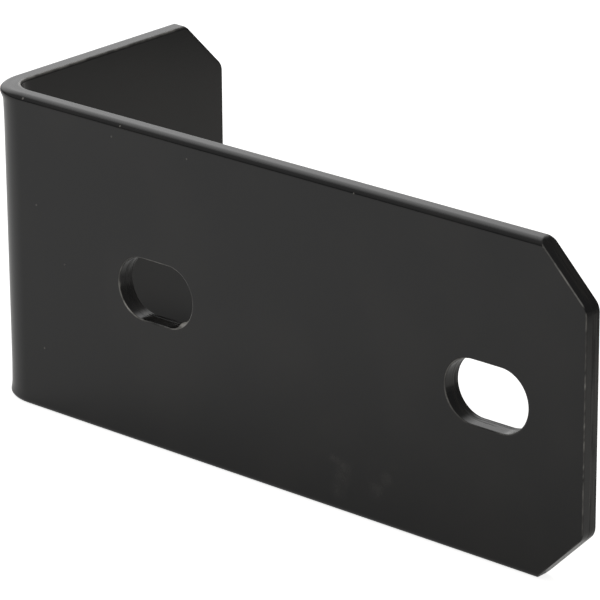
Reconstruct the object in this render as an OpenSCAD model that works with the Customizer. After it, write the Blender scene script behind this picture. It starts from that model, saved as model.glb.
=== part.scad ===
// Corner brace: one steel plate, punched flat with clipped corners and two slots, then folded square.
// Frame: the brace stands on its lower long edges with the fold upright (+Z). The long leg runs along +X
// with its outer face towards -Y, and the short leg runs along +Y from the fold.
// The origin is the middle of the footprint's bounding rectangle, on the standing surface.

/* [Plate] */
// Width of the plate, which is the height of the standing brace
plate_width = 76.2; // [56:0.1:110]
// Thickness of the steel
plate_thickness = 4.5; // [3.6:0.1:8]

/* [Legs] */
// Long leg, from the short leg's outer face to its free end
long_leg = 174.5; // [160:0.1:260]
// Short leg, from the long leg's outer face to its free end
short_leg = 76.2; // [45:0.1:150]
// Radius on the inside of the fold
fold_radius = 6.8; // [3:0.1:12]

/* [Corners and edges] */
// Length that the clip takes off either side of a free corner
corner_clip = 12.6; // [6:0.1:24]
// Rounding between the clip and the free end's cut, seen square to the plate
clip_rounding = 2.5; // [1.2:0.1:4]
// Rolled edge of the bar along the outer face
outer_edge_radius = 1.8; // [0.5:0.1:2.6]
// Rolled edge of the bar along the inner face
inner_edge_radius = 1.4; // [0.4:0.1:2.2]
// Rounding that the punch leaves on the outer face along its cuts
cut_edge_radius = 0.6; // [0.2:0.1:1.1]

/* [Slots] */
// Length of a slot, end to end
slot_length = 22.4; // [17:0.1:30]
// Width of a slot
slot_width = 14.7; // [8:0.1:16]
// Distance between the centres of the two slots
slot_spacing = 95.2; // [60:0.1:105]
// Distance from the free end of the long leg to the centre of the nearer slot
slot_to_end = 26.1; // [20:0.1:40]

/* [Hidden] */
// Facets round a full circle in the preview
$fn = 96;
// How far a cutter reaches past the face that it cuts
overshoot = 1;
// Angle of the clip to the free end's cut, which is also the turn of the rounding between them
clip_angle = 45;
// Colour of the satin black coat
coat_colour = "#2d2d2e";
// Radius on the outside of the fold, where both legs begin
fold_outer_radius = fold_radius + plate_thickness;
// Depth to which the clip's cut bites into the corner rounding, so that the two cuts cross
clip_bite = 0.05;
// Height at which the rounding between the clip and the free end's cut begins
arc_height = corner_clip + clip_rounding * tan(clip_angle / 2);
// Centres of the slots along the long leg
slot_places = [long_leg - slot_to_end - slot_spacing, long_leg - slot_to_end];

// Cross-section of the bar: x runs from the outer to the inner face, y across the width
module bar_section() {
    translate([outer_edge_radius, 0])
        square([plate_thickness - outer_edge_radius - inner_edge_radius, plate_width]);
    translate([0, outer_edge_radius])
        square([outer_edge_radius, plate_width - 2 * outer_edge_radius]);
    translate([plate_thickness - inner_edge_radius, inner_edge_radius])
        square([inner_edge_radius, plate_width - 2 * inner_edge_radius]);
    for (y = [outer_edge_radius, plate_width - outer_edge_radius])
        translate([outer_edge_radius, y])
            circle(outer_edge_radius);
    for (y = [inner_edge_radius, plate_width - inner_edge_radius])
        translate([plate_thickness - inner_edge_radius, y])
            circle(inner_edge_radius);
}

// What a rolled edge leaves out of a square corner: x is 0 at the cut, y is 0 at the outer face
module edge_waste() {
    difference() {
        translate([-cut_edge_radius, -overshoot])
            square(cut_edge_radius + overshoot);
        translate([-cut_edge_radius, cut_edge_radius])
            circle(cut_edge_radius);
    }
}

// What the punch takes off a free end: the rolled edge's waste and everything beyond the cut
module end_waste() {
    edge_waste();
    translate([0, -overshoot])
        square([corner_clip, plate_thickness + 2 * overshoot]);
}

// Waste of half a free end, from mid-width round the clipped corner and past the bar's edge
module corner_waste(length) {
    translate([length, 0, arc_height])
        linear_extrude(plate_width / 2 - arc_height)
            end_waste();
    translate([length - clip_rounding, 0, arc_height]) {
        rotate([-90, 0, 0])
            rotate_extrude(angle = clip_angle)
                translate([clip_rounding, 0])
                    end_waste();
        rotate([0, clip_angle, 0])
            translate([clip_rounding - clip_bite, 0, overshoot])
                mirror([0, 0, 1])
                    linear_extrude(corner_clip / cos(clip_angle) + overshoot)
                        end_waste();
    }
}

// Obround hole with its mouth rolled on the outer face, centred on the origin and open along y
module slot() {
    end_x = (slot_length - slot_width) / 2;
    translate([0, plate_thickness + overshoot, 0])
        rotate([90, 0, 0])
            linear_extrude(plate_thickness + 2 * overshoot) {
                square([2 * end_x, slot_width], center = true);
                for (x = [-end_x, end_x])
                    translate([x, 0])
                        circle(slot_width / 2);
            }
    for (side = [-1, 1]) {
        rotate([0, 90 * side, 0])
            translate([-slot_width / 2, 0, 0])
                linear_extrude(2 * end_x, center = true)
                    edge_waste();
        translate([end_x * side, 0, 0])
            rotate([-90, 0, 0])
                rotate(-90 * side)
                    rotate_extrude(angle = 180)
                        translate([slot_width / 2, 0])
                            mirror([1, 0])
                                edge_waste();
    }
}

// Straight leg along +X from the end of the fold, outer face at y = 0
module leg(length) {
    difference() {
        translate([fold_outer_radius, 0, 0])
            rotate([90, 0, 90])
                linear_extrude(length + overshoot - fold_outer_radius)
                    bar_section();
        for (side = [0, 1])
            translate([0, 0, side * plate_width])
                mirror([0, 0, side])
                    corner_waste(length);
    }
}

// Quarter turn of the bar between the two legs
module fold() {
    translate([fold_outer_radius, fold_outer_radius, 0])
        rotate(180)
            rotate_extrude(angle = 90)
                translate([fold_outer_radius, 0])
                    mirror([1, 0])
                        bar_section();
}

// The whole folded plate
module brace() {
    color(coat_colour)
        translate([-long_leg / 2, -short_leg / 2, 0]) {
            difference() {
                leg(long_leg);
                for (x = slot_places)
                    translate([x, 0, plate_width / 2])
                        slot();
            }
            mirror([1, -1, 0])
                leg(short_leg);
            fold();
        }
}

brace();
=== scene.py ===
"""Visual model of a corner brace: a folded steel plate with clipped corners, two slots and black paint."""

import logging
import math
from dataclasses import dataclass, field
from enum import Enum
from typing import Any, Optional

import bmesh
import bpy
import numpy as np
from mathutils import Matrix, Vector


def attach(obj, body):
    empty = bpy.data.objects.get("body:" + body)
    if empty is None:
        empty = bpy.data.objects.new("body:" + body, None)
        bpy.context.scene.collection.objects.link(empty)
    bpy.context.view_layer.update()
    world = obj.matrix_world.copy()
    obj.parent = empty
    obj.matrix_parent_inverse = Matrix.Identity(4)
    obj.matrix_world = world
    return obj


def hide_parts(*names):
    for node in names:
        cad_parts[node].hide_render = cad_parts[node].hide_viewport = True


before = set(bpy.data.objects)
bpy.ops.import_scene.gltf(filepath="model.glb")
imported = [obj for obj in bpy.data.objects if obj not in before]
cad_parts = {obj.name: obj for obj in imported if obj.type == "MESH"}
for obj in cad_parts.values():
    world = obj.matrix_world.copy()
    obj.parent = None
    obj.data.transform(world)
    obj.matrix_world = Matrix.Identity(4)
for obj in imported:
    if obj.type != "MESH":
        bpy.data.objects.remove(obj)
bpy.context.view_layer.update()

LOG = logging.getLogger("corner_brace")
MM = 0.001
SLACK = 1e-6

Span = tuple[float, float]
Triple = tuple[float, float, float]


class Zone(Enum):
    """Kinds of surface on the plate, as the value that the mesh attribute cut_zone holds there."""

    ROLLED = 0.0
    BURNISHED = 0.5
    FRACTURED = 1.0


def linear(hex_colour: str) -> tuple[float, float, float, float]:
    """Turns an sRGB hex colour into the linear colour that a shader socket takes.

    Args:
        hex_colour: six hex digits after a hash mark.

    Returns:
        Linear red, green, blue and an alpha of 1.
    """
    channels = [int(hex_colour[i:i + 2], 16) / 255 for i in (1, 3, 5)]
    curve = [c / 12.92 if c <= 0.04045 else ((c + 0.055) / 1.055) ** 2.4 for c in channels]
    return (curve[0], curve[1], curve[2], 1.0)


def add_node(tree: bpy.types.NodeTree, kind: str, settings: Optional[dict[str, Any]] = None,
             inputs: Optional[dict[Any, Any]] = None) -> bpy.types.Node:
    """Adds one node, sets its properties and fills its sockets.

    Args:
        tree: node tree that gets the node.
        kind: Blender's type name of the node.
        settings: property values by property name.
        inputs: a value, or an output socket to link, by the input's name or number.

    Returns:
        The new node.
    """
    node = tree.nodes.new(kind)
    for name, value in (settings or {}).items():
        setattr(node, name, value)
    for key, value in (inputs or {}).items():
        if isinstance(value, bpy.types.NodeSocket):
            tree.links.new(value, node.inputs[key])
        else:
            node.inputs[key].default_value = value
    return node


def smooth_step(value: np.ndarray) -> np.ndarray:
    """Eases a ramp from 0 to 1: three times the square less twice the cube, held flat outside."""
    ramp = np.clip(value, 0.0, 1.0)
    return ramp * ramp * (3.0 - 2.0 * ramp)


def quarter_inset(depth: np.ndarray, deep: float, wide: float) -> np.ndarray:
    """Inset of a rolled edge at a depth: a quarter ellipse that is level with the face at depth 0.

    Args:
        depth: distances from the face.
        deep: how far the roll reaches into the thickness.
        wide: how far the roll reaches along the face.

    Returns:
        The inset at each depth, wide at the face and 0 from deep on.
    """
    share = np.clip((deep - depth) / deep, 0.0, 1.0)
    return wide * (1.0 - np.sqrt(1.0 - share * share))


def grid_quads(index: np.ndarray) -> np.ndarray:
    """Corners of the quad between each four neighbours in a grid of point numbers."""
    corners = [index[:-1, :-1], index[:-1, 1:], index[1:, 1:], index[1:, :-1]]
    return np.stack(corners, axis=-1)


def cell_middles(grid: np.ndarray) -> np.ndarray:
    """Middle of each cell of a grid: a quarter of the sum of its four corners."""
    return 0.25 * (grid[:-1, :-1] + grid[1:, :-1] + grid[:-1, 1:] + grid[1:, 1:])


@dataclass
class Skin:
    """Quads of the plate in flat coordinates, gathered patch by patch: along, across and into the plate."""

    points: list[np.ndarray] = field(default_factory=list)
    zones: list[np.ndarray] = field(default_factory=list)
    wear: list[np.ndarray] = field(default_factory=list)
    quads: list[np.ndarray] = field(default_factory=list)
    count: int = 0

    def add_grid(self, along: np.ndarray, across: np.ndarray, depth: np.ndarray, zone: np.ndarray,
                 wear: np.ndarray, closed: bool = False, keep: Optional[np.ndarray] = None) -> None:
        """Adds a grid of points with a quad between each four neighbours.

        Args:
            along: distance along the flat plate at each grid point.
            across: distance across the plate at each grid point.
            depth: distance into the plate from its outer face at each grid point.
            zone: value of the attribute cut_zone at each grid point.
            wear: value at each grid point of the attribute for cut wear and the painted highlight.
            closed: whether the last column joins the first.
            keep: which quads are made, or None for all of them.
        """
        shape = along.shape
        index = np.arange(along.size).reshape(shape) + self.count
        if closed:
            index = np.concatenate([index, index[:, :1]], axis=1)
        quads = grid_quads(index)
        self.quads.append(quads[keep] if keep is not None else quads.reshape(-1, 4))
        depth_full = np.broadcast_to(depth, shape)
        self.points.append(np.stack([along, across, depth_full], axis=-1).reshape(-1, 3))
        self.zones.append(np.broadcast_to(zone, shape).reshape(-1))
        self.wear.append(np.broadcast_to(wear, shape).reshape(-1))
        self.count += along.size


@dataclass(frozen=True)
class Slot:
    """Obround bolt slot: where its middle lies along the flat plate, and its size."""

    middle: float
    length: float
    width: float


@dataclass(frozen=True)
class LegEdge:
    """Edges of one leg, in millimetres: the roll of its long edges, and each clip's rounding into them."""

    roll_deep: float
    roll_wide: float
    upper_shoulder: float
    lower_shoulder: float


@dataclass(frozen=True)
class SatinBlackCoat:
    """Satin black paint, sprayed and baked on mild steel.

    To the eye it is a dark neutral film with a soft clear sheen: faint orange peel a millimetre or two
    across, light and matt streaks on the torn part of the cuts, worn lines along their mouths, a few dust
    specks caught in the film and a faint smudge from handling. The worn colour also paints a highlight on
    the short leg's inner rolled edge. The grain of torn steel is finer than a pixel, so it is drawn coarser.
    A range is the stretch of a noise or mask over which an effect comes in.
    """

    name: str = "satin_black_baked_paint_on_steel"
    body_hex: str = "#141414"
    haze_hex: str = "#1d1c1b"
    cut_hex: str = "#121110"
    cut_streak_hex: str = "#282623"
    dust_hex: str = "#7e7b76"
    # Worn steel on the cuts; the same colour is also a painted highlight on the short leg's inner roll.
    worn_and_highlight_hex: str = "#c2bfb9"
    peel_mm: float = 1.4
    cloud_mm: float = 22.0
    grain_mm: float = 0.6
    streak_mm: float = 12.0
    chip_mm: float = 3.0
    smudge_mm: float = 2.0
    smudge_share: float = 0.13
    roughness_low: float = 0.14
    roughness_high: float = 0.18
    torn_roughness: float = 0.34
    refraction: float = 1.5
    haze_range: Span = (0.42, 0.68)
    sheen_range: Span = (0.3, 0.7)
    torn_range: Span = (0.6, 0.95)
    streak_range: Span = (0.46, 0.62)
    matt_range: Span = (0.49, 0.4)
    chip_range: Span = (0.38, 0.66)
    chip_least: float = 0.35
    smudge_range: Span = (0.3, 0.7)
    smudge_least: float = 0.25
    speck_core: float = 0.4
    peel_height_mm: float = 0.05
    peel_strength: float = 0.05
    grain_height_mm: float = 0.12
    grain_strength: float = 0.8

    def make(self, specks: np.ndarray, smudges: np.ndarray) -> bpy.types.Material:
        """Builds the paint's node tree.

        Args:
            specks: place and radius of each dust speck in metres, one row of four numbers for each.
            smudges: place and radius of each soft spot of the smudges in metres, in the same way.

        Returns:
            The material.
        """
        material = bpy.data.materials.new(self.name)
        material.use_nodes = True
        tree = material.node_tree
        tree.nodes.clear()
        place = add_node(tree, "ShaderNodeTexCoord").outputs["Object"]
        zone = add_node(tree, "ShaderNodeAttribute", {"attribute_name": "cut_zone"}).outputs["Fac"]
        torn = add_node(tree, "ShaderNodeMapRange", {"interpolation_type": "SMOOTHSTEP"},
                        {"Value": zone, "From Min": self.torn_range[0],
                         "From Max": self.torn_range[1]}).outputs["Result"]
        cloud = add_node(tree, "ShaderNodeTexNoise", None,
                         {"Vector": place, "Scale": 1 / (self.cloud_mm * MM), "Detail": 3.0}).outputs["Fac"]
        peel = add_node(tree, "ShaderNodeTexNoise", None,
                        {"Vector": place, "Scale": 1 / (self.peel_mm * MM), "Detail": 1.0}).outputs["Fac"]
        inward = add_node(tree, "ShaderNodeAttribute", {"attribute_name": "cut_depth"}).outputs["Fac"]
        stretch = add_node(tree, "ShaderNodeMath", {"operation": "MULTIPLY"},
                           {0: inward, 1: self.streak_mm / self.grain_mm}).outputs["Value"]
        grain = add_node(tree, "ShaderNodeTexNoise", {"noise_dimensions": "4D"},
                         {"Vector": place, "W": stretch, "Scale": 1 / (self.streak_mm * MM),
                          "Detail": 2.0}).outputs["Fac"]
        dust = add_node(tree, "ShaderNodeMath", {"operation": "MAXIMUM"},
                        {0: self.spot_mask(tree, place, specks, self.speck_core),
                         1: self.smudge_mask(tree, place, smudges)}).outputs["Value"]
        veil = add_node(tree, "ShaderNodeMapRange", {"interpolation_type": "SMOOTHSTEP"},
                        {"Value": cloud, "From Min": self.haze_range[0],
                         "From Max": self.haze_range[1]}).outputs["Result"]
        film = add_node(tree, "ShaderNodeMix", {"data_type": "RGBA"},
                        {"Factor": veil, "A": linear(self.body_hex),
                         "B": linear(self.haze_hex)}).outputs["Result"]
        streaks = add_node(tree, "ShaderNodeMapRange", {"interpolation_type": "SMOOTHSTEP"},
                           {"Value": grain, "From Min": self.streak_range[0],
                            "From Max": self.streak_range[1]}).outputs["Result"]
        cut = add_node(tree, "ShaderNodeMix", {"data_type": "RGBA"},
                       {"Factor": streaks, "A": linear(self.cut_hex),
                        "B": linear(self.cut_streak_hex)}).outputs["Result"]
        body = add_node(tree, "ShaderNodeMix", {"data_type": "RGBA"},
                        {"Factor": torn, "A": film, "B": cut}).outputs["Result"]
        dusty = add_node(tree, "ShaderNodeMix", {"data_type": "RGBA"},
                         {"Factor": dust, "A": body, "B": linear(self.dust_hex)}).outputs["Result"]
        # Lighter where the cuts are worn, and a painted highlight on the short leg's inner roll.
        colour = add_node(tree, "ShaderNodeMix", {"data_type": "RGBA"},
                          {"Factor": self.wear_and_highlight_mask(tree, place), "A": dusty,
                           "B": linear(self.worn_and_highlight_hex)}).outputs["Result"]
        sheen = add_node(tree, "ShaderNodeMapRange", None,
                         {"Value": cloud, "From Min": self.sheen_range[0], "From Max": self.sheen_range[1],
                          "To Min": self.roughness_low, "To Max": self.roughness_high}).outputs["Result"]
        matted = add_node(tree, "ShaderNodeMapRange", {"interpolation_type": "SMOOTHSTEP"},
                          {"Value": grain, "From Min": self.matt_range[0], "From Max": self.matt_range[1],
                           "To Max": self.torn_roughness}).outputs["Result"]
        rough = add_node(tree, "ShaderNodeMath", {"operation": "MULTIPLY_ADD"},
                         {0: torn, 1: matted, 2: sheen}).outputs["Value"]
        skin = add_node(tree, "ShaderNodeBump", None,
                        {"Height": peel, "Strength": self.peel_strength,
                         "Distance": self.peel_height_mm * MM}).outputs["Normal"]
        torn_strength = add_node(tree, "ShaderNodeMath", {"operation": "MULTIPLY"},
                                 {0: torn, 1: self.grain_strength})
        relief = add_node(tree, "ShaderNodeBump", None,
                          {"Height": grain, "Strength": torn_strength.outputs["Value"],
                           "Distance": self.grain_height_mm * MM, "Normal": skin}).outputs["Normal"]
        paint = add_node(tree, "ShaderNodeBsdfPrincipled", None,
                         {"Base Color": colour, "Roughness": rough, "IOR": self.refraction,
                          "Normal": relief})
        add_node(tree, "ShaderNodeOutputMaterial", None, {"Surface": paint.outputs["BSDF"]})
        return material

    def wear_and_highlight_mask(self, tree: bpy.types.NodeTree, place: bpy.types.NodeSocket) -> bpy.types.NodeSocket:
        """Adds the nodes for the cuts' worn lines and a painted highlight: a mesh attribute, broken up by
        noise.

        Args:
            tree: the paint's node tree.
            place: output socket of the object coordinates.

        Returns:
            Output socket of the mask.
        """
        # This attribute holds the worn cut lines and the painted highlight on the short leg's inner roll.
        edge = add_node(tree, "ShaderNodeAttribute", {"attribute_name": "edge_wear_and_highlight"}).outputs["Fac"]
        chips = add_node(tree, "ShaderNodeTexNoise", None,
                         {"Vector": place, "Scale": 1 / (self.chip_mm * MM), "Detail": 2.0}).outputs["Fac"]
        share = add_node(tree, "ShaderNodeMapRange", None,
                         {"Value": chips, "From Min": self.chip_range[0], "From Max": self.chip_range[1],
                          "To Min": self.chip_least, "To Max": 1.0}).outputs["Result"]
        return add_node(tree, "ShaderNodeMath", {"operation": "MULTIPLY"},
                        {0: edge, 1: share}).outputs["Value"]

    def smudge_mask(self, tree: bpy.types.NodeTree, place: bpy.types.NodeSocket,
                    smudges: np.ndarray) -> bpy.types.NodeSocket:
        """Adds the nodes for the smudges: soft spots, broken up by a noise and kept weak.

        Args:
            tree: the paint's node tree.
            place: output socket of the object coordinates.
            smudges: place and radius of each spot in metres.

        Returns:
            Output socket of the mask.
        """
        smear = add_node(tree, "ShaderNodeTexNoise", None,
                         {"Vector": place, "Scale": 1 / (self.smudge_mm * MM),
                          "Detail": 3.0}).outputs["Fac"]
        share = add_node(tree, "ShaderNodeMapRange", None,
                         {"Value": smear, "From Min": self.smudge_range[0],
                          "From Max": self.smudge_range[1],
                          "To Min": self.smudge_least * self.smudge_share,
                          "To Max": self.smudge_share}).outputs["Result"]
        soft = self.spot_mask(tree, place, smudges, 0.0)
        return add_node(tree, "ShaderNodeMath", {"operation": "MULTIPLY"},
                        {0: soft, 1: share}).outputs["Value"]

    def spot_mask(self, tree: bpy.types.NodeTree, place: bpy.types.NodeSocket, spots: np.ndarray,
                  core: float) -> bpy.types.NodeSocket:
        """Adds the nodes that are 1 in the core of a spot and fade to 0 at its radius.

        Args:
            tree: the paint's node tree.
            place: output socket of the object coordinates.
            spots: place and radius of each spot in metres.
            core: share of the radius that is full.

        Returns:
            Output socket of the mask.
        """
        mask: Any = 0.0
        for x, y, z, radius in spots:
            reach = add_node(tree, "ShaderNodeVectorMath", {"operation": "DISTANCE"},
                             {0: place, 1: (x, y, z)})
            spot = add_node(tree, "ShaderNodeMapRange", {"interpolation_type": "SMOOTHSTEP"},
                            {"Value": reach.outputs["Value"], "From Min": radius,
                             "From Max": core * radius})
            mask = add_node(tree, "ShaderNodeMath", {"operation": "MAXIMUM"},
                            {0: mask, 1: spot.outputs["Result"]}).outputs["Value"]
        return mask


@dataclass
class FoldedPlate:
    """The brace, sizes in millimetres: a bar blanked flat with its clips and slots, then folded square."""

    name: str = "brace_plate"
    long_leg: float = 174.5
    short_leg: float = 76.2
    width: float = 76.2
    thickness: float = 4.5
    fold_radius: float = 6.8
    clip: float = 12.6
    clip_rounding: float = 3.6
    shoulder_front: float = 0.2
    long_edge: LegEdge = LegEdge(roll_deep=1.9, roll_wide=1.6, upper_shoulder=2.6, lower_shoulder=1.0)
    short_edge: LegEdge = LegEdge(roll_deep=1.2, roll_wide=1.0, upper_shoulder=1.2, lower_shoulder=1.0)
    inner_roll_deep: float = 0.8
    inner_roll_wide: float = 0.7
    cut_roll_deep: float = 0.36
    cut_roll_wide: float = 0.3
    wear_deep: float = 0.2
    # Painted highlight on the short leg's inner roll: a lighter colour in place of the light it catches.
    inner_roll_highlight: float = 0.6
    burnish_end: float = 1.6
    inner_break: float = 0.04
    slot_length: float = 22.4
    slot_width: float = 14.7
    slot_spacing: float = 95.2
    slot_to_end: float = 26.1
    window_margin: float = 4.6
    fold_lip_top: float = 0.75
    fold_lip_bottom: float = 0.3
    fold_lip_reach: float = 2.9
    fold_lip_deep: float = 1.0
    fold_lip_fall: float = 0.7
    fold_flare: float = 0.15
    fold_flare_reach: float = 10.0
    fold_draw: float = 0.15
    fold_draw_reach: float = 6.0
    fold_bulge: float = 0.15
    rubbed_places: tuple[tuple[float, float, float, float], ...] = (
        (61.7, 32.4, 1.5, 2.0),
        (44.5, 32.3, 3.5, 0.45),
        (41.8, 37.6, 0.9, 0.8),
        (60.0, 44.5, 7.0, 0.3),
        (53.2, 30.6, 4.0, -0.4),
        (148.4, 30.6, 7.0, -0.45),
        (168.0, 69.7, 9.0, 0.08),
        (168.0, 6.5, 8.0, -0.5),
        (174.5, 20.0, 4.0, 0.2),
        (174.5, 35.0, 3.0, 0.15),
        (174.5, 47.5, 2.0, 0.15),
    )
    bead_place: tuple[float, float] = (61.3, 32.1)
    bead_reach: float = 1.8
    bead_rise: float = 0.75
    bead_start: float = 0.4
    bead_full: float = 0.5
    bead_fade: float = 1.6
    burnish_fade: float = 0.5
    cut_rub: float = 0.5
    most_rub: float = 2.0
    end_rub: float = 0.22
    end_dash: float = 0.3
    end_dash_waves: Span = (2.1, 0.73)
    end_dash_lead: float = 0.4
    end_margin: float = 1.0
    wear_start: float = 0.05
    wear_full: float = 0.7
    wear_fade: float = 0.8
    wear_carry: float = 4.0
    back_wear: float = 0.4
    back_wear_deep: float = 0.15
    back_wear_fade: float = 0.1
    fold_lip_flat: float = 0.4
    fold_lip_power: float = 1.5
    station_gap: float = 0.012
    weld_gap: float = 0.002
    ring_power: float = 1.6
    end_zone: float = 20.0
    fold_zone: float = 4.0
    row_margin: float = 2.0
    clip_margin: float = 5.0
    slot_side_steps: int = 32
    slot_end_steps: int = 24

    def __post_init__(self) -> None:
        """Works out the lengths of the flat stretches and where the slots lie along them."""
        self.fold_outer = self.fold_radius + self.thickness
        self.short_flat = self.short_leg - self.fold_outer
        self.fold_run = math.pi / 2 * self.fold_outer
        self.run = self.short_flat + self.fold_run + self.long_leg - self.fold_outer
        middles = [self.run - self.slot_to_end - self.slot_spacing, self.run - self.slot_to_end]
        self.slots = [Slot(middle, self.slot_length, self.slot_width) for middle in middles]

    def edge_inset(self, depth: np.ndarray, edge: LegEdge) -> np.ndarray:
        """Inset of the bar's rolled long edges: the outer roll, a short flat and the inner roll."""
        roll = quarter_inset(depth, edge.roll_deep, edge.roll_wide)
        return roll + quarter_inset(self.thickness - depth, self.inner_roll_deep, self.inner_roll_wide)

    def cut_inset(self, depth: np.ndarray) -> np.ndarray:
        """Inset of a sheared cut: rolled mouth, straight wall, edge just broken on the inner face."""
        roll = quarter_inset(depth, self.cut_roll_deep, self.cut_roll_wide)
        return roll + quarter_inset(self.thickness - depth, self.inner_break, self.inner_break)

    def depth_stations(self) -> np.ndarray:
        """Depths at which outlines are taken: even angles round each roll, even steps between them.

        Returns:
            Rising depths from 0 to the thickness.
        """
        angle = np.linspace(0.0, math.pi / 2, 9)
        fall = 1.0 - np.cos(angle)
        stations = np.concatenate([
            self.cut_roll_deep * fall,
            self.long_edge.roll_deep * fall,
            self.short_edge.roll_deep * fall,
            self.thickness - self.inner_roll_deep * fall,
            self.thickness - self.inner_break * fall[::2],
            np.linspace(self.cut_roll_deep, self.thickness - self.inner_break, 12),
        ])
        stations = np.sort(stations)
        gaps = np.diff(stations, prepend=-1.0)
        stations = stations[gaps > self.station_gap]
        stations[-1] = self.thickness
        return stations

    def zone_at(self, depth: np.ndarray) -> np.ndarray:
        """Value of cut_zone down a sheared cut: rolled mouth, burnished band, then torn steel.

        Args:
            depth: distances from the outer face.

        Returns:
            The zone's value, eased from one to the next and back to 0 on the inner face.
        """
        burnished = Zone.BURNISHED.value * smooth_step(depth / self.cut_roll_deep)
        tearing = smooth_step((depth - self.burnish_end) / self.burnish_fade)
        torn = (Zone.FRACTURED.value - Zone.BURNISHED.value) * tearing
        fade = 1.0 - smooth_step((depth - self.thickness + self.inner_break) / self.inner_break)
        return (burnished + torn) * fade

    def rub_at(self, along: np.ndarray, across: np.ndarray) -> np.ndarray:
        """How hard the paint on a cut's mouth was rubbed: an even share, and bells round a few places.

        Along the long leg's free end the share comes and goes in dashes, two waves multiplied.

        Args:
            along: distance along the flat plate.
            across: distance across the plate.

        Returns:
            The rub, 0.5 on most of a cut and above 1 where the bare patch reaches into the cut.
        """
        x = along - self.run + self.long_leg
        fast, slow = self.end_dash_waves
        dashes = self.end_dash * np.sin(fast * across) * np.cos(slow * across + self.end_dash_lead)
        at_end = x > self.long_leg - self.end_margin
        rub = np.where(at_end, self.end_rub + dashes, self.cut_rub)
        for place_x, place_z, reach, gain in self.rubbed_places:
            gap = (x - place_x) ** 2 + (across - place_z) ** 2
            rub = rub + gain * np.exp(-gap / reach ** 2)
        return np.clip(rub, 0.0, self.most_rub)

    def wear_at(self, depth: np.ndarray, rub: np.ndarray) -> np.ndarray:
        """Value of edge_wear_and_highlight down a sheared cut: the rub on the mouth's roll, and less on the back edge.

        Args:
            depth: distances from the outer face.
            rub: how hard the mouth was rubbed there, where more than 1 carries the wear deeper.

        Returns:
            The wear, from 0 to 1.
        """
        share = np.clip(rub, 0.0, 1.0)
        reach = self.wear_deep * (1.0 + self.wear_carry * np.clip(rub - 1.0, 0.0, 1.0))
        start = smooth_step(depth / (self.wear_start * self.wear_deep))
        fade = 1.0 - smooth_step((depth - self.wear_full * reach) / (self.wear_fade * reach))
        back = smooth_step((depth - self.thickness + self.back_wear_deep) / self.back_wear_fade)
        return np.maximum(start * share * fade, self.back_wear * share * back)

    def end_path(self, depth: float, leg: LegEdge, rounding: float) -> np.ndarray:
        """Outline of half a free end at a depth, from mid-width to the long edge.

        The end, the clip and the long edge are three straight lines, moved in by the inset at that depth.
        An arc of 45 degrees rounds each of the two corners between them, and the one at the long edge is
        sharper towards the outer face.

        Args:
            depth: distance from the outer face.
            leg: edges of the leg.
            rounding: rounding between the clip and the long edge on the inner face.

        Returns:
            Rows of two distances: inwards from the free end, and inwards from the long edge.
        """
        cut = float(self.cut_inset(np.array(depth)))
        edge = float(self.edge_inset(np.array(depth), leg))
        reach = math.tan(math.pi / 8)
        corner = self.clip_rounding - cut
        corner_across = self.clip + cut * math.sqrt(2) - cut
        corner_middle = np.array([cut + corner, corner_across + corner * reach])
        shoulder = rounding * (self.shoulder_front + (1.0 - self.shoulder_front) * depth / self.thickness)
        shoulder_along = self.clip + cut * math.sqrt(2) - edge
        shoulder_middle = np.array([shoulder_along + shoulder * reach, edge + shoulder])
        window = self.width / 2 - self.window_half_height()
        half = np.linspace(self.width / 2, window, self.slot_end_steps // 2 + 1)
        rest = np.linspace(window, corner_middle[1], 8)[1:-1]
        end_across = np.concatenate([half, rest])
        end_line = np.stack([np.full_like(end_across, cut), end_across], axis=-1)
        turn = np.linspace(0.0, math.pi / 4, 8)[:, None]
        corner_arc = corner_middle - corner * np.concatenate([np.cos(turn), np.sin(turn)], axis=1)
        turn = np.linspace(math.pi / 4, math.pi / 2, 6)[:, None]
        shoulder_arc = shoulder_middle - shoulder * np.concatenate([np.cos(turn), np.sin(turn)], axis=1)
        share = np.linspace(0.0, 1.0, 14)[1:-1, None]
        clip_line = corner_arc[-1] + (shoulder_arc[0] - corner_arc[-1]) * share
        return np.concatenate([end_line, corner_arc, clip_line, shoulder_arc])

    def end_outline(self, depth: float, leg: LegEdge) -> np.ndarray:
        """Outline of a whole free end at a depth: a half path below mid-width, and one mirrored above it.

        Args:
            depth: distance from the outer face.
            leg: edges of the leg.

        Returns:
            Rows of two distances from the lower edge up: inwards from the free end, and across the plate.
        """
        lower = self.end_path(depth, leg, leg.lower_shoulder)[::-1]
        upper = self.end_path(depth, leg, leg.upper_shoulder)
        upper = np.stack([upper[1:, 0], self.width - upper[1:, 1]], axis=-1)
        return np.concatenate([lower, upper])

    def between_legs(self, along: np.ndarray, short: np.ndarray, long: np.ndarray) -> np.ndarray:
        """A value that goes over from the short leg's to the long leg's round the fold."""
        return short + (long - short) * smooth_step((along - self.short_flat) / self.fold_run)

    def window_half_height(self) -> float:
        """Half the height of the rectangle of plate that a slot's ring of quads fills."""
        return self.slot_width / 2 + self.window_margin

    def fixed_columns(self) -> np.ndarray:
        """Grid columns between the two end zones: fine in the fold and at the slots, even in each stretch.

        Returns:
            Rising distances along the flat plate.
        """
        reach = self.slot_length / 2 + self.window_margin
        fold_end = self.short_flat + self.fold_run
        first, second = (slot.middle for slot in self.slots)
        stretches = [
            (self.end_zone, self.short_flat - self.fold_zone, 13),
            (self.short_flat - self.fold_zone, self.short_flat, 4),
            (self.short_flat, fold_end, 32),
            (fold_end, fold_end + self.fold_zone, 4),
            (fold_end + self.fold_zone, first - reach, 7),
            (first - reach, first + reach, self.slot_side_steps),
            (first + reach, second - reach, 19),
            (second - reach, second + reach, self.slot_side_steps),
        ]
        columns = [np.linspace(start, end, steps + 1)[:-1] for start, end, steps in stretches]
        return np.append(np.concatenate(columns), second + reach)

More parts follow.
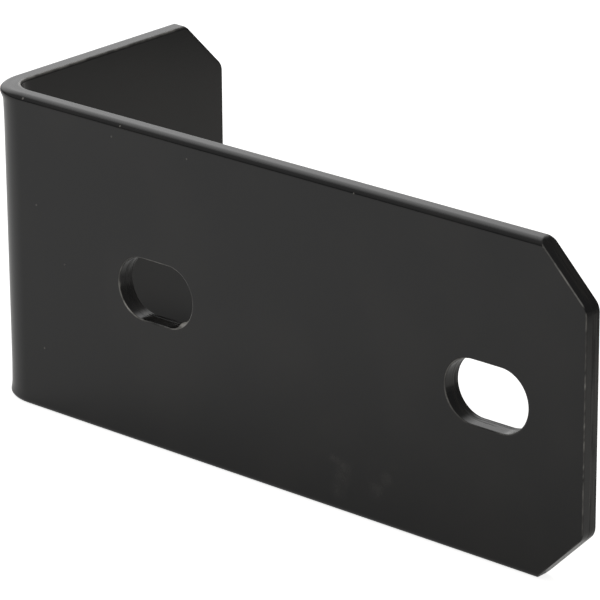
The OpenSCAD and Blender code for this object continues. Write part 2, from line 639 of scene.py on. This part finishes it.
    def columns(self, left_end: np.ndarray, right_end: np.ndarray, across: np.ndarray) -> np.ndarray:
        """Grid columns for rows whose two ends are given: even steps in from each end to the fixed columns.

        The second slot lies between the two clips, so rows above and below it draw its columns back
        from the clips.

        Args:
            left_end: where each row begins along the plate.
            right_end: where each row ends along the plate.
            across: where each row lies across the plate.

        Returns:
            One row of places along the plate for each pair of ends.
        """
        fixed = self.fixed_columns()
        above = np.abs(across - self.width / 2) - self.window_half_height()
        back = smooth_step(above / (self.width / 2 - self.window_half_height() - self.row_margin))[:, None]
        start = self.slots[1].middle - self.slot_length / 2 - self.window_margin
        goal = self.run - self.clip - self.clip_margin
        shrink = 1.0 - back * (fixed[-1] - goal) / (fixed[-1] - start)
        middle = np.where(fixed > start, start + (fixed - start) * shrink, fixed)
        share = np.linspace(0.0, 1.0, 9)[:-1]
        left = left_end[:, None] * (1.0 - share) + middle[:, :1] * share
        right = right_end[:, None] * (1.0 - share[::-1]) + middle[:, -1:] * share[::-1]
        return np.concatenate([left, middle, right], axis=1)

    def add_face(self, skin: Skin, depth: float, mouth: float) -> None:
        """Adds the outer or the inner face: rows across the plate, with a ring of quads round each slot.

        Args:
            skin: gathers the quads.
            depth: 0 for the outer face, the thickness for the inner one.
            mouth: how far a slot's mouth is wider than its wall on this face.
        """
        short = self.end_outline(depth, self.short_edge)
        long = self.end_outline(depth, self.long_edge)
        along = self.columns(short[:, 0], self.run - long[:, 0], long[:, 1])
        across = self.between_legs(along, short[:, 1:], long[:, 1:])
        middle_along = cell_middles(along)
        middle_across = cell_middles(across)
        half_height = self.window_half_height()
        half_length = self.slot_length / 2 + self.window_margin
        keep = np.ones(middle_along.shape, dtype=bool)
        rows = np.abs(across[:, 0] - self.width / 2) < half_height + SLACK
        for slot in self.slots:
            inside = np.abs(middle_along - slot.middle) < half_length
            inside &= np.abs(middle_across - self.width / 2) < half_height
            keep &= ~inside
            columns = np.abs(along[len(along) // 2] - slot.middle) < half_length + SLACK
            self.add_ring(skin, slot, depth, mouth, along[len(along) // 2][columns], across[rows, 0])
        bare = np.array(Zone.ROLLED.value)
        skin.add_grid(along, across, np.array(depth), bare, np.array(0.0), keep=keep)

    def add_ring(self, skin: Skin, slot: Slot, depth: float, mouth: float, columns: np.ndarray,
                 rows: np.ndarray) -> None:
        """Adds the ring between a rectangle of grid lines and a slot's mouth: straight rules between them.

        Args:
            skin: gathers the quads.
            slot: the slot.
            depth: depth of the face.
            mouth: how far the mouth is wider than the wall.
            columns: places along the plate of the rectangle's grid columns.
            rows: places across the plate of the rectangle's grid rows.
        """
        low, high = np.full(len(columns) - 1, rows[0]), np.full(len(columns) - 1, rows[-1])
        left, right = np.full(len(rows) - 1, columns[0]), np.full(len(rows) - 1, columns[-1])
        frame_along = np.concatenate([columns[:-1], right, columns[:0:-1], left])
        frame_across = np.concatenate([low, rows[:-1], high, rows[:0:-1]])
        wall, normal = self.slot_wall(slot, len(columns) - 1, len(rows) - 1)
        hole = wall + mouth * normal
        even = np.linspace(0.0, 1.0, 9)
        share = (1.0 - (1.0 - even) ** self.ring_power)[:, None]
        along = frame_along + (hole[:, 0] - frame_along) * share
        across = frame_across + (hole[:, 1] - frame_across) * share
        bare = np.array(Zone.ROLLED.value)
        skin.add_grid(along, across, np.array(depth), bare, np.array(0.0), closed=True)

    def slot_wall(self, slot: Slot, long_steps: int, end_steps: int) -> tuple[np.ndarray, np.ndarray]:
        """Points round a slot's straight wall and the directions from the hole into the steel.

        The obround is two half circles joined by straight sides. It is split where the half circles stand
        at 45 degrees, and each of the four stretches has even steps of length.

        Args:
            slot: the slot.
            long_steps: steps along each long side.
            end_steps: steps round each end.

        Returns:
            Points on the wall, and unit vectors, each as rows of along and across.
        """
        radius = slot.width / 2
        half = (slot.length - slot.width) / 2
        eighth = radius * math.pi / 4
        long_run = np.linspace(-half - eighth, half + eighth, long_steps + 1)[:-1]
        lean = np.clip(np.abs(long_run) - half, 0.0, None) / radius * np.sign(long_run)
        low_normal = np.stack([np.sin(lean), -np.cos(lean)], axis=-1)
        low_middle = np.stack([np.clip(long_run, -half, half), np.zeros_like(long_run)], axis=-1)
        turn = np.linspace(-math.pi / 4, math.pi / 4, end_steps + 1)[:-1]
        end_normal = np.stack([np.cos(turn), np.sin(turn)], axis=-1)
        end_middle = np.stack([np.full_like(turn, half), np.zeros_like(turn)], axis=-1)
        normal = np.concatenate([low_normal, end_normal, -low_normal, -end_normal])
        middle = np.concatenate([low_middle, end_middle, -low_middle, -end_middle])
        centre = np.array([slot.middle, self.width / 2])
        return centre + middle + radius * normal, normal

    def add_slot_wall(self, skin: Skin, slot: Slot, stations: np.ndarray) -> None:
        """Adds a slot's wall: its outline carried through the plate, wider by the cut's inset at each depth.

        A bead of paint hangs in one place, a bell along the wall and a swell below the mouth.

        Args:
            skin: gathers the quads.
            slot: the slot.
            stations: depths of the rows.
        """
        wall, normal = self.slot_wall(slot, self.slot_side_steps, self.slot_end_steps)
        from_bead = np.hypot(wall[:, 0] - self.run + self.long_leg - self.bead_place[0],
                             wall[:, 1] - self.bead_place[1])
        bead = self.bead_rise * np.exp(-(from_bead / self.bead_reach) ** 2)
        fade = 1.0 - smooth_step((stations - self.bead_full) / self.bead_fade)
        swell = smooth_step(stations / self.bead_start) * fade
        inset = self.cut_inset(stations)[:, None] - bead * swell[:, None]
        along = wall[:, 0] + inset * normal[:, 0]
        across = wall[:, 1] + inset * normal[:, 1]
        zone = self.zone_at(stations)[:, None]
        wear = self.wear_at(stations[:, None], self.rub_at(along, across))
        skin.add_grid(along, across, stations[:, None], zone, wear, closed=True)

    def add_rim(self, skin: Skin, stations: np.ndarray) -> None:
        """Adds the plate's edge: the closed outline at each depth, long edges rolled and ends sheared.

        Args:
            skin: gathers the quads.
            stations: depths of the rows.
        """
        short = np.stack([self.end_outline(float(depth), self.short_edge) for depth in stations])
        long = np.stack([self.end_outline(float(depth), self.long_edge) for depth in stations])
        left, right = short[:, :, 0], self.run - long[:, :, 0]
        low = self.columns(left[:, 0], right[:, 0], long[:, 0, 1])
        high = self.columns(left[:, -1], right[:, -1], long[:, -1, 1])[:, ::-1]
        low_across = self.between_legs(low, short[:, :1, 1], long[:, :1, 1])
        high_across = self.between_legs(high, short[:, -1:, 1], long[:, -1:, 1])
        up, down = long[:, 1:-1, 1], short[:, -2:0:-1, 1]
        along = np.concatenate([low, right[:, 1:-1], high, left[:, -2:0:-1]], axis=1)
        across = np.concatenate([low_across, up, high_across, down], axis=1)
        cut = np.broadcast_to(self.zone_at(stations)[:, None], up.shape)
        bare = np.zeros_like(low)
        zone = np.concatenate([bare, cut, bare, cut], axis=1)
        wear = self.wear_at(stations[:, None], self.rub_at(along, across)) * (zone > 0.0)
        # The short leg's long edges get a painted highlight on their inner roll, carried with the cut wear.
        rolled = np.concatenate([bare + 1.0, 0.0 * cut] * 2, axis=1)
        painted_highlight = self.inner_roll_highlight_at(along, stations[:, None]) * rolled
        skin.add_grid(along, across, stations[:, None], zone, np.maximum(wear, painted_highlight), closed=True)

    def inner_roll_highlight_at(self, along: np.ndarray, depth: np.ndarray) -> np.ndarray:
        """Painted highlight on the short leg's rolled edges: a lighter colour over the inner roll.

        Half a sine wave over the roll's depth, fading to nothing over the second half of the fold.

        Args:
            along: distance along the flat plate.
            depth: distance from the outer face.

        Returns:
            The painted highlight, from 0 to 1.
        """
        share = np.clip((depth - self.thickness) / self.inner_roll_deep + 1.0, 0.0, 1.0)
        half_fold = 0.5 * self.fold_run
        fade = 1.0 - smooth_step((along - self.short_flat - half_fold) / half_fold)
        return self.inner_roll_highlight * np.sin(math.pi * share) * fade

    def folded(self, flat: np.ndarray) -> np.ndarray:
        """Folds flat coordinates into the row frame.

        The short leg keeps its line, the fold turns it through 90 degrees about the fold's axis, and the
        long leg goes on square to it. In the fold the outer side draws in from the plate's edges, the inner
        side swells out to them, and the corner flares outwards near its two ends, most on its outer side, as
        steel does when a press bends it.

        Args:
            flat: rows of along, across and depth in millimetres.

        Returns:
            Rows of x, y and z in metres.
        """
        along, across, depth = flat[:, 0], flat[:, 1], flat[:, 2]
        share = np.clip((along - self.short_flat) / self.fold_run, 0.0, 1.0)
        turn = share * math.pi / 2
        bell = np.sin(2.0 * turn) ** 2
        to_edge = np.minimum(across, self.width - across)
        side = np.where(across < self.width / 2, 1.0, -1.0)
        lip = np.where(side > 0.0, self.fold_lip_bottom, self.fold_lip_top)
        lip = lip * (1.0 - smooth_step((to_edge - self.fold_lip_flat) / self.fold_lip_reach))
        flare = lip + self.fold_flare * (1.0 - smooth_step(to_edge / self.fold_flare_reach))
        inward = smooth_step((depth - self.fold_lip_deep) / (self.thickness - self.fold_lip_deep))
        flare = flare * np.sin(2.0 * turn) ** self.fold_lip_power * (1.0 - self.fold_lip_fall * inward)
        draw = self.fold_draw * bell * (1.0 - depth / self.thickness)
        draw = draw - self.fold_bulge * bell * smooth_step(2.0 * depth / self.thickness - 1.0)
        draw = draw * (1.0 - smooth_step(to_edge / self.fold_draw_reach))
        radius = self.fold_outer - depth + flare
        before = np.clip(along, None, self.short_flat) - self.short_flat
        after = np.clip(along - self.short_flat - self.fold_run, 0.0, None)
        x = np.clip(self.fold_outer - radius * np.cos(turn) + after, 0.0, None)
        y = np.clip(self.fold_outer - radius * np.sin(turn) - before, 0.0, None)
        z = np.clip(across + side * draw, 0.0, self.width)
        corner = np.array([-self.long_leg / 2, -self.short_leg / 2, 0.0])
        return (np.stack([x, y, z], axis=-1) + corner) * MM

    def build(self) -> bpy.types.Object:
        """Makes the plate's mesh: both faces, the rim and the slot walls, welded into one closed skin.

        Returns:
            The plate's object, at the origin.
        """
        skin = Skin()
        stations = self.depth_stations()
        self.add_face(skin, 0.0, float(self.cut_inset(np.array(0.0))))
        self.add_face(skin, self.thickness, float(self.cut_inset(np.array(self.thickness))))
        self.add_rim(skin, stations)
        for slot in self.slots:
            self.add_slot_wall(skin, slot, stations)
        mesh = bpy.data.meshes.new(self.name)
        flat = np.concatenate(skin.points)
        mesh.from_pydata(self.folded(flat), [], np.concatenate(skin.quads))
        # One attribute carries the cut wear and the painted highlight on the short leg's inner roll.
        attributes = {
            "cut_zone": np.concatenate(skin.zones),
            "cut_depth": flat[:, 2] * MM,
            "edge_wear_and_highlight": np.concatenate(skin.wear),
        }
        for name, values in attributes.items():
            attribute = mesh.attributes.new(name, "FLOAT", "POINT")
            attribute.data.foreach_set("value", values.astype(np.float32))
        weld = bmesh.new()
        weld.from_mesh(mesh)
        bmesh.ops.remove_doubles(weld, verts=weld.verts, dist=self.weld_gap * MM)
        bmesh.ops.recalc_face_normals(weld, faces=weld.faces)
        open_edges = sum(1 for edge in weld.edges if len(edge.link_faces) != 2)
        LOG.info("%s: %d faces, %d open edges", self.name, len(weld.faces), open_edges)
        weld.to_mesh(mesh)
        weld.free()
        mesh.polygons.foreach_set("use_smooth", np.ones(len(mesh.polygons), dtype=bool))
        plate = bpy.data.objects.new(self.name, mesh)
        bpy.context.scene.collection.objects.link(plate)
        shading = plate.modifiers.new("even_shading", "WEIGHTED_NORMAL")
        shading.mode = "FACE_AREA"
        shading.keep_sharp = False
        return plate

    def front_points(self, marks: np.ndarray) -> np.ndarray:
        """Places marks on the long leg's outer face, or on the roll above it, a quarter ellipse.

        Args:
            marks: rows of distance from the short leg's outer face, height and radius in millimetres.

        Returns:
            Rows of x, y, z and radius in metres.
        """
        x = marks[:, 0] - self.long_leg / 2
        rise = np.clip((marks[:, 1] - self.width) / self.long_edge.roll_wide + 1.0, 0.0, 1.0)
        y = self.long_edge.roll_deep * (1.0 - np.sqrt(1.0 - rise * rise)) - self.short_leg / 2
        return np.stack([x, y, marks[:, 1], marks[:, 2]], axis=-1) * MM

    def dress(self, plate: bpy.types.Object, coat: SatinBlackCoat) -> None:
        """Coats the plate and puts it in the CAD node's place.

        Args:
            plate: the plate's object.
            coat: the paint.
        """
        marks = np.array([
            [43.2, 75.35, 0.32],
            [40.7, 72.4, 0.25],
            [63.5, 72.1, 0.25],
            [12.7, 75.45, 0.4],
            [16.3, 50.7, 0.25],
            [17.55, 15.9, 0.25],
            [24.8, 38.2, 0.22],
            [111.85, 75.0, 0.25],
        ])
        smudges = np.array([
            [105.6, 12.4, 1.6],
            [107.2, 12.1, 1.7],
            [109.0, 11.0, 3.4],
            [108.2, 8.2, 3.8],
            [107.2, 5.2, 3.4],
            [118.4, 8.2, 3.2],
            [121.0, 11.6, 2.6],
        ])
        plate.data.materials.append(coat.make(self.front_points(marks), self.front_points(smudges)))
        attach(plate, "root")
        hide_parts("brace")


@dataclass(frozen=True)
class SkyLobe:
    """Soft patch of light in the studio: its direction, its full and faded half angles, and its radiance."""

    azimuth: float
    elevation: float
    full: float
    faded: float
    radiance: float

    def axis(self) -> Triple:
        """Unit vector towards the patch, azimuth turning from +X towards +Y."""
        turn, rise = math.radians(self.azimuth), math.radians(self.elevation)
        return (math.cos(turn) * math.cos(rise), math.sin(turn) * math.cos(rise), math.sin(rise))


@dataclass
class Studio:
    """White floor, soft light from behind on the left, and a long lens on the brace's front."""

    room_radiance: float = 0.16
    floor_size: float = 8.0
    floor_hex: str = "#fefefd"
    # The card's tone darkens behind the brace, a painted falloff of the light, and darker again further
    # back.
    floor_painted_falloff_hex: str = "#d4d2cd"
    floor_further_hex: str = "#5c5b58"
    # Painted shade of the brace on the card inside its L: a band, seen only in reflections.
    floor_shade_hex: str = "#4a4947"
    floor_lines: int = 9
    floor_away: Triple = (0.707, 0.707, 0.0)
    floor_painted_falloff_range: Span = (-0.24, 0.2)
    floor_further_range: Span = (0.15, 0.24)
    floor_shade_start: Span = (-0.025, 0.01)
    floor_shade_along: Triple = (0.778, 0.629, 0.0)
    floor_shade_across: Triple = (-0.629, 0.778, 0.0)
    floor_shade_middle: float = 0.022
    floor_shade_full: float = 0.0085
    floor_shade_faded: float = 0.0125
    floor_camera_glow: float = 0.85
    floor_mirror_glow: float = 0.155
    lens: float = 249.794
    eye: Triple = (0.56877, -0.67140, 0.36596)
    azimuth: float = 41.4607
    elevation: float = 20.6746
    roll: float = -0.4071
    lobes: tuple[SkyLobe, ...] = (
        SkyLobe(147.0, 36.0, 12.0, 42.0, 1.2),
        SkyLobe(135.0, 3.0, 4.0, 14.0, 0.5),
        SkyLobe(215.0, 40.0, 10.0, 36.0, 0.22),
        SkyLobe(295.0, 45.0, 10.0, 45.0, 0.4),
        SkyLobe(0.0, 90.0, 20.0, 50.0, 0.22),
    )

    def light(self) -> None:
        """Fills the world: camera rays see white, and all other rays a dim room with soft patches of light.

        A patch is full inside its first angle and fades to nothing at its second, by the cosine to its axis.
        """
        world = bpy.data.worlds.new("studio")
        bpy.context.scene.world = world
        world.use_nodes = True
        tree = world.node_tree
        tree.nodes.clear()
        look = add_node(tree, "ShaderNodeTexCoord").outputs["Generated"]
        level: Any = self.room_radiance
        for lobe in self.lobes:
            near = add_node(tree, "ShaderNodeVectorMath", {"operation": "DOT_PRODUCT"},
                            {0: look, 1: lobe.axis()})
            fade = add_node(tree, "ShaderNodeMapRange", {"interpolation_type": "SMOOTHSTEP"},
                            {"Value": near.outputs["Value"], "From Min": math.cos(math.radians(lobe.faded)),
                             "From Max": math.cos(math.radians(lobe.full)), "To Max": lobe.radiance})
            level = add_node(tree, "ShaderNodeMath", {"operation": "ADD"},
                             {0: fade.outputs["Result"], 1: level}).outputs["Value"]
        seen = add_node(tree, "ShaderNodeLightPath").outputs["Is Camera Ray"]
        strength = add_node(tree, "ShaderNodeMix", {"data_type": "FLOAT"},
                            {"Factor": seen, "A": level, "B": 1.0})
        glow = add_node(tree, "ShaderNodeBackground", None,
                        {"Color": (1.0, 1.0, 1.0, 1.0), "Strength": strength.outputs["Result"]})
        add_node(tree, "ShaderNodeOutputWorld", None, {"Surface": glow.outputs["Background"]})

    def lay_floor(self) -> bpy.types.Object:
        """Lays the floor: a flat square grid of matt card that reads as white and keeps the shadow.

        Its tone darkens behind the brace, a painted falloff of the light, and darker again further back. In
        reflections it has one band of painted shade, starting inside the brace's L: full near its middle
        line, and fading at its sides and its start.

        Returns:
            The floor's object.
        """
        ticks = np.linspace(-self.floor_size / 2, self.floor_size / 2, self.floor_lines)
        x, y = np.meshgrid(ticks, ticks)
        points = np.stack([x, y, np.zeros_like(x)], axis=-1).reshape(-1, 3)
        quads = grid_quads(np.arange(x.size).reshape(x.shape)).reshape(-1, 4)
        mesh = bpy.data.meshes.new("floor")
        mesh.from_pydata(points, [], quads)
        floor = bpy.data.objects.new("floor", mesh)
        bpy.context.scene.collection.objects.link(floor)
        material = bpy.data.materials.new("matt_white_studio_card")
        material.use_nodes = True
        tree = material.node_tree
        tree.nodes.clear()
        path = add_node(tree, "ShaderNodeLightPath")
        mirrored = add_node(tree, "ShaderNodeMath", {"operation": "MAXIMUM"},
                            {0: path.outputs["Is Glossy Ray"], 1: path.outputs["Is Transmission Ray"]})
        mirror_glow = add_node(tree, "ShaderNodeMath", {"operation": "MULTIPLY"},
                               {0: mirrored.outputs["Value"], 1: self.floor_mirror_glow})
        strength = add_node(tree, "ShaderNodeMath", {"operation": "MULTIPLY_ADD"},
                            {0: path.outputs["Is Camera Ray"], 1: self.floor_camera_glow,
                             2: mirror_glow.outputs["Value"]})
        glow = add_node(tree, "ShaderNodeEmission", None, {"Strength": strength.outputs["Value"]})
        spot = add_node(tree, "ShaderNodeTexCoord").outputs["Object"]
        # Painted falloff of the light: the card darkens behind the brace, then turns darker further back.
        away = add_node(tree, "ShaderNodeVectorMath", {"operation": "DOT_PRODUCT"},
                        {0: spot, 1: self.floor_away})
        fade = add_node(tree, "ShaderNodeMapRange", {"interpolation_type": "SMOOTHSTEP"},
                        {"Value": away.outputs["Value"], "From Min": self.floor_painted_falloff_range[0],
                         "From Max": self.floor_painted_falloff_range[1]})
        tone = add_node(tree, "ShaderNodeMix", {"data_type": "RGBA"},
                        {"Factor": fade.outputs["Result"], "A": linear(self.floor_hex),
                         "B": linear(self.floor_painted_falloff_hex)})
        beyond = add_node(tree, "ShaderNodeMapRange", {"interpolation_type": "SMOOTHSTEP"},
                          {"Value": away.outputs["Value"], "From Min": self.floor_further_range[0],
                           "From Max": self.floor_further_range[1]})
        card = add_node(tree, "ShaderNodeMix", {"data_type": "RGBA"},
                        {"Factor": beyond.outputs["Result"], "A": tone.outputs["Result"],
                         "B": linear(self.floor_further_hex)})
        # A band of painted shade starting inside the brace's L, mixed in only for glossy and transmission
        # rays.
        run = add_node(tree, "ShaderNodeVectorMath", {"operation": "DOT_PRODUCT"},
                       {0: spot, 1: self.floor_shade_along})
        begun = add_node(tree, "ShaderNodeMapRange", {"interpolation_type": "SMOOTHSTEP"},
                         {"Value": run.outputs["Value"], "From Min": self.floor_shade_start[0],
                          "From Max": self.floor_shade_start[1]})
        side = add_node(tree, "ShaderNodeVectorMath", {"operation": "DOT_PRODUCT"},
                        {0: spot, 1: self.floor_shade_across})
        offset = add_node(tree, "ShaderNodeMath", {"operation": "SUBTRACT"},
                          {0: side.outputs["Value"], 1: self.floor_shade_middle})
        reach = add_node(tree, "ShaderNodeMath", {"operation": "ABSOLUTE"}, {0: offset.outputs["Value"]})
        shade = add_node(tree, "ShaderNodeMapRange", {"interpolation_type": "SMOOTHSTEP"},
                         {"Value": reach.outputs["Value"], "From Min": self.floor_shade_faded,
                          "From Max": self.floor_shade_full})
        band = add_node(tree, "ShaderNodeMath", {"operation": "MULTIPLY"},
                        {0: shade.outputs["Result"], 1: begun.outputs["Result"]})
        painted_shade = add_node(tree, "ShaderNodeMath", {"operation": "MULTIPLY"},
                          {0: band.outputs["Value"], 1: mirrored.outputs["Value"]})
        shaded = add_node(tree, "ShaderNodeMix", {"data_type": "RGBA"},
                          {"Factor": painted_shade.outputs["Value"], "A": card.outputs["Result"],
                           "B": linear(self.floor_shade_hex)})
        matt = add_node(tree, "ShaderNodeBsdfDiffuse", None, {"Color": shaded.outputs["Result"]})
        both = add_node(tree, "ShaderNodeAddShader", None,
                        {0: matt.outputs["BSDF"], 1: glow.outputs["Emission"]})
        add_node(tree, "ShaderNodeOutputMaterial", None, {"Surface": both.outputs["Shader"]})
        mesh.materials.append(material)
        return floor

    def aim_camera(self) -> bpy.types.Object:
        """Sets up the camera: its back axis from azimuth and elevation, then a turn about it by the roll.

        Returns:
            The camera's object.
        """
        turn, rise, roll = (math.radians(a) for a in (self.azimuth, self.elevation, self.roll))
        back = Vector((math.sin(turn) * math.cos(rise), -math.cos(turn) * math.cos(rise), math.sin(rise)))
        right = Vector((math.cos(turn), math.sin(turn), 0.0))
        up = back.cross(right)
        level_right = right * math.cos(roll) + up * math.sin(roll)
        level_up = up * math.cos(roll) - right * math.sin(roll)
        lens = bpy.data.cameras.new("camera")
        lens.lens = self.lens
        lens.sensor_width = 36.0
        lens.clip_start = 0.05
        lens.clip_end = 50.0
        camera = bpy.data.objects.new("camera", lens)
        bpy.context.scene.collection.objects.link(camera)
        axes = Matrix((level_right, level_up, back)).transposed().to_4x4()
        camera.matrix_world = Matrix.Translation(Vector(self.eye)) @ axes
        bpy.context.scene.camera = camera
        return camera


def main() -> None:
    """Builds the studio and the brace in order and reports each piece."""
    logging.basicConfig(level=logging.INFO, format="%(name)s: %(message)s")
    bpy.context.scene.view_settings.view_transform = "Standard"
    studio = Studio()
    studio.light()
    LOG.info("light: %d patches", len(studio.lobes))
    floor = studio.lay_floor()
    LOG.info("floor: %s", floor.name)
    camera = studio.aim_camera()
    LOG.info("camera: %s", camera.name)
    brace = FoldedPlate()
    plate = brace.build()
    brace.dress(plate, SatinBlackCoat())
    LOG.info("brace: %s", plate.name)


if __name__ == "__main__":
    main()
